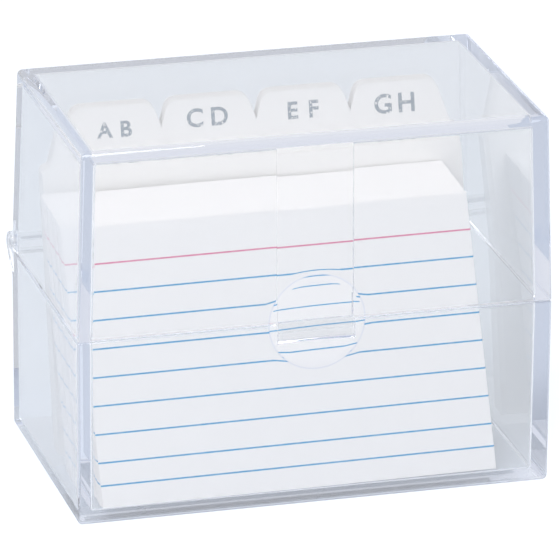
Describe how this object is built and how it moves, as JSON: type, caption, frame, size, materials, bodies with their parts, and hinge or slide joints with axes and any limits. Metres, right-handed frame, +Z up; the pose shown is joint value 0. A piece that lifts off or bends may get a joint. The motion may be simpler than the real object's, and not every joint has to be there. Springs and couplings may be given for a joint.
{
  "type": "index card box",
  "caption": "Clear hinged-lid box holding lined index cards and an alphabetical register of tabbed dividers, with a front clasp and thumb dish.",
  "frame": {"origin": "centre of the base's underside", "axes": "+X to the right along the width, +Y from the clasp to the hinge, +Z up"},
  "size_m": [0.088, 0.0557, 0.0701],
  "materials": {
    "clear_plastic": "clear, polished",
    "card_paper": "smooth, ruled",
    "divider_board": "smooth, white"
  },
  "bodies": {
    "base": {"base_tray": "clear_plastic"},
    "lid": {"lid": "clear_plastic"},
    "front_card": {"front_card": "card_paper"},
    "card_pack_01": {"card_pack_01": "card_paper"},
    "card_pack_02": {"card_pack_02": "card_paper"},
    "card_pack_03": {"card_pack_03": "card_paper"},
    "card_pack_04": {"card_pack_04": "card_paper"},
    "card_pack_05": {"card_pack_05": "card_paper"},
    "card_pack_06": {"card_pack_06": "card_paper"},
    "card_pack_07": {"card_pack_07": "card_paper"},
    "card_pack_08": {"card_pack_08": "card_paper"},
    "card_pack_09": {"card_pack_09": "card_paper"},
    "card_pack_10": {"card_pack_10": "card_paper"},
    "card_pack_11": {"card_pack_11": "card_paper"},
    "card_pack_12": {"card_pack_12": "card_paper"},
    "divider_01": {"divider_01": "divider_board"},
    "divider_02": {"divider_02": "divider_board"},
    "divider_03": {"divider_03": "divider_board"},
    "divider_04": {"divider_04": "divider_board"},
    "divider_05": {"divider_05": "divider_board"},
    "divider_06": {"divider_06": "divider_board"},
    "divider_07": {"divider_07": "divider_board"},
    "divider_08": {"divider_08": "divider_board"},
    "divider_09": {"divider_09": "divider_board"},
    "divider_10": {"divider_10": "divider_board"},
    "divider_11": {"divider_11": "divider_board"},
    "divider_12": {"divider_12": "divider_board"}
  },
  "joints": [
    {"name": "lid_hinge", "type": "hinge", "parent": "base", "child": "lid", "pos_m": [0, 0.0278, 0.035], "axis": [-1, 0, 0], "range_deg": [0, 175]},
    {"name": "front_card_tilt", "type": "hinge", "parent": "base", "child": "front_card", "pos_m": [-0.002, -0.02232, 0.00224], "axis": [0.9999, 0.0157, 0], "range_deg": [0, 21.83]},
    {"name": "card_pack_01_tilt", "type": "hinge", "parent": "base", "child": "card_pack_01", "pos_m": [-0.002, -0.02208, 0.00224], "axis": [0.9999, 0.0157, 0], "range_deg": [0, 21.77]},
    {"name": "card_pack_02_tilt", "type": "hinge", "parent": "base", "child": "card_pack_02", "pos_m": [-0.002, -0.02058, 0.00224], "axis": [0.9999, 0.0157, 0], "range_deg": [0, 21.4]},
    {"name": "card_pack_03_tilt", "type": "hinge", "parent": "base", "child": "card_pack_03", "pos_m": [-0.002, -0.01909, 0.00224], "axis": [0.9999, 0.0157, 0], "range_deg": [0, 21.09]},
    {"name": "card_pack_04_tilt", "type": "hinge", "parent": "base", "child": "card_pack_04", "pos_m": [-0.002, -0.01759, 0.00224], "axis": [0.9999, 0.0157, 0], "range_deg": [0, 20.78]},
    {"name": "card_pack_05_tilt", "type": "hinge", "parent": "base", "child": "card_pack_05", "pos_m": [-0.002, -0.0161, 0.00224], "axis": [0.9999, 0.0157, 0], "range_deg": [0, 20.48]},
    {"name": "card_pack_06_tilt", "type": "hinge", "parent": "base", "child": "card_pack_06", "pos_m": [-0.002, -0.01461, 0.00224], "axis": [0.9999, 0.0157, 0], "range_deg": [0, 20.17]},
    {"name": "card_pack_07_tilt", "type": "hinge", "parent": "base", "child": "card_pack_07", "pos_m": [-0.002, -0.01313, 0.00224], "axis": [0.9999, 0.0157, 0], "range_deg": [0, 19.86]},
    {"name": "card_pack_08_tilt", "type": "hinge", "parent": "base", "child": "card_pack_08", "pos_m": [-0.002, -0.01164, 0.00224], "axis": [0.9999, 0.0157, 0], "range_deg": [0, 19.55]},
    {"name": "card_pack_09_tilt", "type": "hinge", "parent": "base", "child": "card_pack_09", "pos_m": [-0.002, -0.01016, 0.00224], "axis": [0.9999, 0.0157, 0], "range_deg": [0, 19.24]},
    {"name": "card_pack_10_tilt", "type": "hinge", "parent": "base", "child": "card_pack_10", "pos_m": [-0.002, -0.00868, 0.00224], "axis": [0.9999, 0.0157, 0], "range_deg": [0, 18.93]},
    {"name": "card_pack_11_tilt", "type": "hinge", "parent": "base", "child": "card_pack_11", "pos_m": [-0.002, -0.0072, 0.00224], "axis": [0.9999, 0.0157, 0], "range_deg": [0, 18.63]},
    {"name": "card_pack_12_tilt", "type": "hinge", "parent": "base", "child": "card_pack_12", "pos_m": [-0.002, -0.00573, 0.00224], "axis": [0.9999, 0.0157, 0], "range_deg": [0, 18.32]},
    {"name": "divider_01_tilt", "type": "hinge", "parent": "base", "child": "divider_01", "pos_m": [0.0002, 0.0031, 0.00223], "axis": [1, 0, 0], "range_deg": [0, 10.84]},
    {"name": "divider_02_tilt", "type": "hinge", "parent": "base", "child": "divider_02", "pos_m": [0.0002, 0.00347, 0.00223], "axis": [1, 0, 0], "range_deg": [0, 10.64]},
    {"name": "divider_03_tilt", "type": "hinge", "parent": "base", "child": "divider_03", "pos_m": [0.0002, 0.00383, 0.00223], "axis": [1, 0, 0], "range_deg": [0, 10.44]},
    {"name": "divider_04_tilt", "type": "hinge", "parent": "base", "child": "divider_04", "pos_m": [0.0002, 0.0042, 0.00223], "axis": [1, 0, 0], "range_deg": [0, 10.24]},
    {"name": "divider_05_tilt", "type": "hinge", "parent": "base", "child": "divider_05", "pos_m": [0.0002, 0.00457, 0.00223], "axis": [1, 0, 0], "range_deg": [0, 10.03]},
    {"name": "divider_06_tilt", "type": "hinge", "parent": "base", "child": "divider_06", "pos_m": [0.0002, 0.00494, 0.00223], "axis": [1, 0, 0], "range_deg": [0, 9.83]},
    {"name": "divider_07_tilt", "type": "hinge", "parent": "base", "child": "divider_07", "pos_m": [0.0002, 0.0053, 0.00223], "axis": [1, 0, 0], "range_deg": [0, 9.63]},
    {"name": "divider_08_tilt", "type": "hinge", "parent": "base", "child": "divider_08", "pos_m": [0.0002, 0.00567, 0.00222], "axis": [1, 0, 0], "range_deg": [0, 9.43]},
    {"name": "divider_09_tilt", "type": "hinge", "parent": "base", "child": "divider_09", "pos_m": [0.0002, 0.00604, 0.00222], "axis": [1, 0, 0], "range_deg": [0, 9.23]},
    {"name": "divider_10_tilt", "type": "hinge", "parent": "base", "child": "divider_10", "pos_m": [0.0002, 0.0064, 0.00222], "axis": [1, 0, 0], "range_deg": [0, 9.03]},
    {"name": "divider_11_tilt", "type": "hinge", "parent": "base", "child": "divider_11", "pos_m": [0.0002, 0.00677, 0.00222], "axis": [1, 0, 0], "range_deg": [0, 8.83]},
    {"name": "divider_12_tilt", "type": "hinge", "parent": "base", "child": "divider_12", "pos_m": [0.0002, 0.00713, 0.00222], "axis": [1, 0, 0], "range_deg": [0, 8.62]}
  ],
  "couplings": [
    {"joint": "front_card_tilt", "follows": "card_pack_01_tilt", "ratio": 1.0014},
    {"joint": "card_pack_02_tilt", "follows": "card_pack_01_tilt", "ratio": 0.9819},
    {"joint": "card_pack_03_tilt", "follows": "card_pack_01_tilt", "ratio": 0.9677},
    {"joint": "card_pack_04_tilt", "follows": "card_pack_01_tilt", "ratio": 0.9536},
    {"joint": "card_pack_05_tilt", "follows": "card_pack_01_tilt", "ratio": 0.9394},
    {"joint": "card_pack_06_tilt", "follows": "card_pack_01_tilt", "ratio": 0.9253},
    {"joint": "card_pack_07_tilt", "follows": "card_pack_01_tilt", "ratio": 0.9111},
    {"joint": "card_pack_08_tilt", "follows": "card_pack_01_tilt", "ratio": 0.8969},
    {"joint": "card_pack_09_tilt", "follows": "card_pack_01_tilt", "ratio": 0.8828},
    {"joint": "card_pack_10_tilt", "follows": "card_pack_01_tilt", "ratio": 0.8686},
    {"joint": "card_pack_11_tilt", "follows": "card_pack_01_tilt", "ratio": 0.8544},
    {"joint": "card_pack_12_tilt", "follows": "card_pack_01_tilt", "ratio": 0.8403},
    {"joint": "divider_01_tilt", "follows": "card_pack_01_tilt", "ratio": 0.4969},
    {"joint": "divider_02_tilt", "follows": "card_pack_01_tilt", "ratio": 0.4876},
    {"joint": "divider_03_tilt", "follows": "card_pack_01_tilt", "ratio": 0.4783},
    {"joint": "divider_04_tilt", "follows": "card_pack_01_tilt", "ratio": 0.4691},
    {"joint": "divider_05_tilt", "follows": "card_pack_01_tilt", "ratio": 0.4598},
    {"joint": "divider_06_tilt", "follows": "card_pack_01_tilt", "ratio": 0.4506},
    {"joint": "divider_07_tilt", "follows": "card_pack_01_tilt", "ratio": 0.4413},
    {"joint": "divider_08_tilt", "follows": "card_pack_01_tilt", "ratio": 0.4321},
    {"joint": "divider_09_tilt", "follows": "card_pack_01_tilt", "ratio": 0.4228},
    {"joint": "divider_10_tilt", "follows": "card_pack_01_tilt", "ratio": 0.4136},
    {"joint": "divider_11_tilt", "follows": "card_pack_01_tilt", "ratio": 0.4043},
    {"joint": "divider_12_tilt", "follows": "card_pack_01_tilt", "ratio": 0.395}
  ]
}
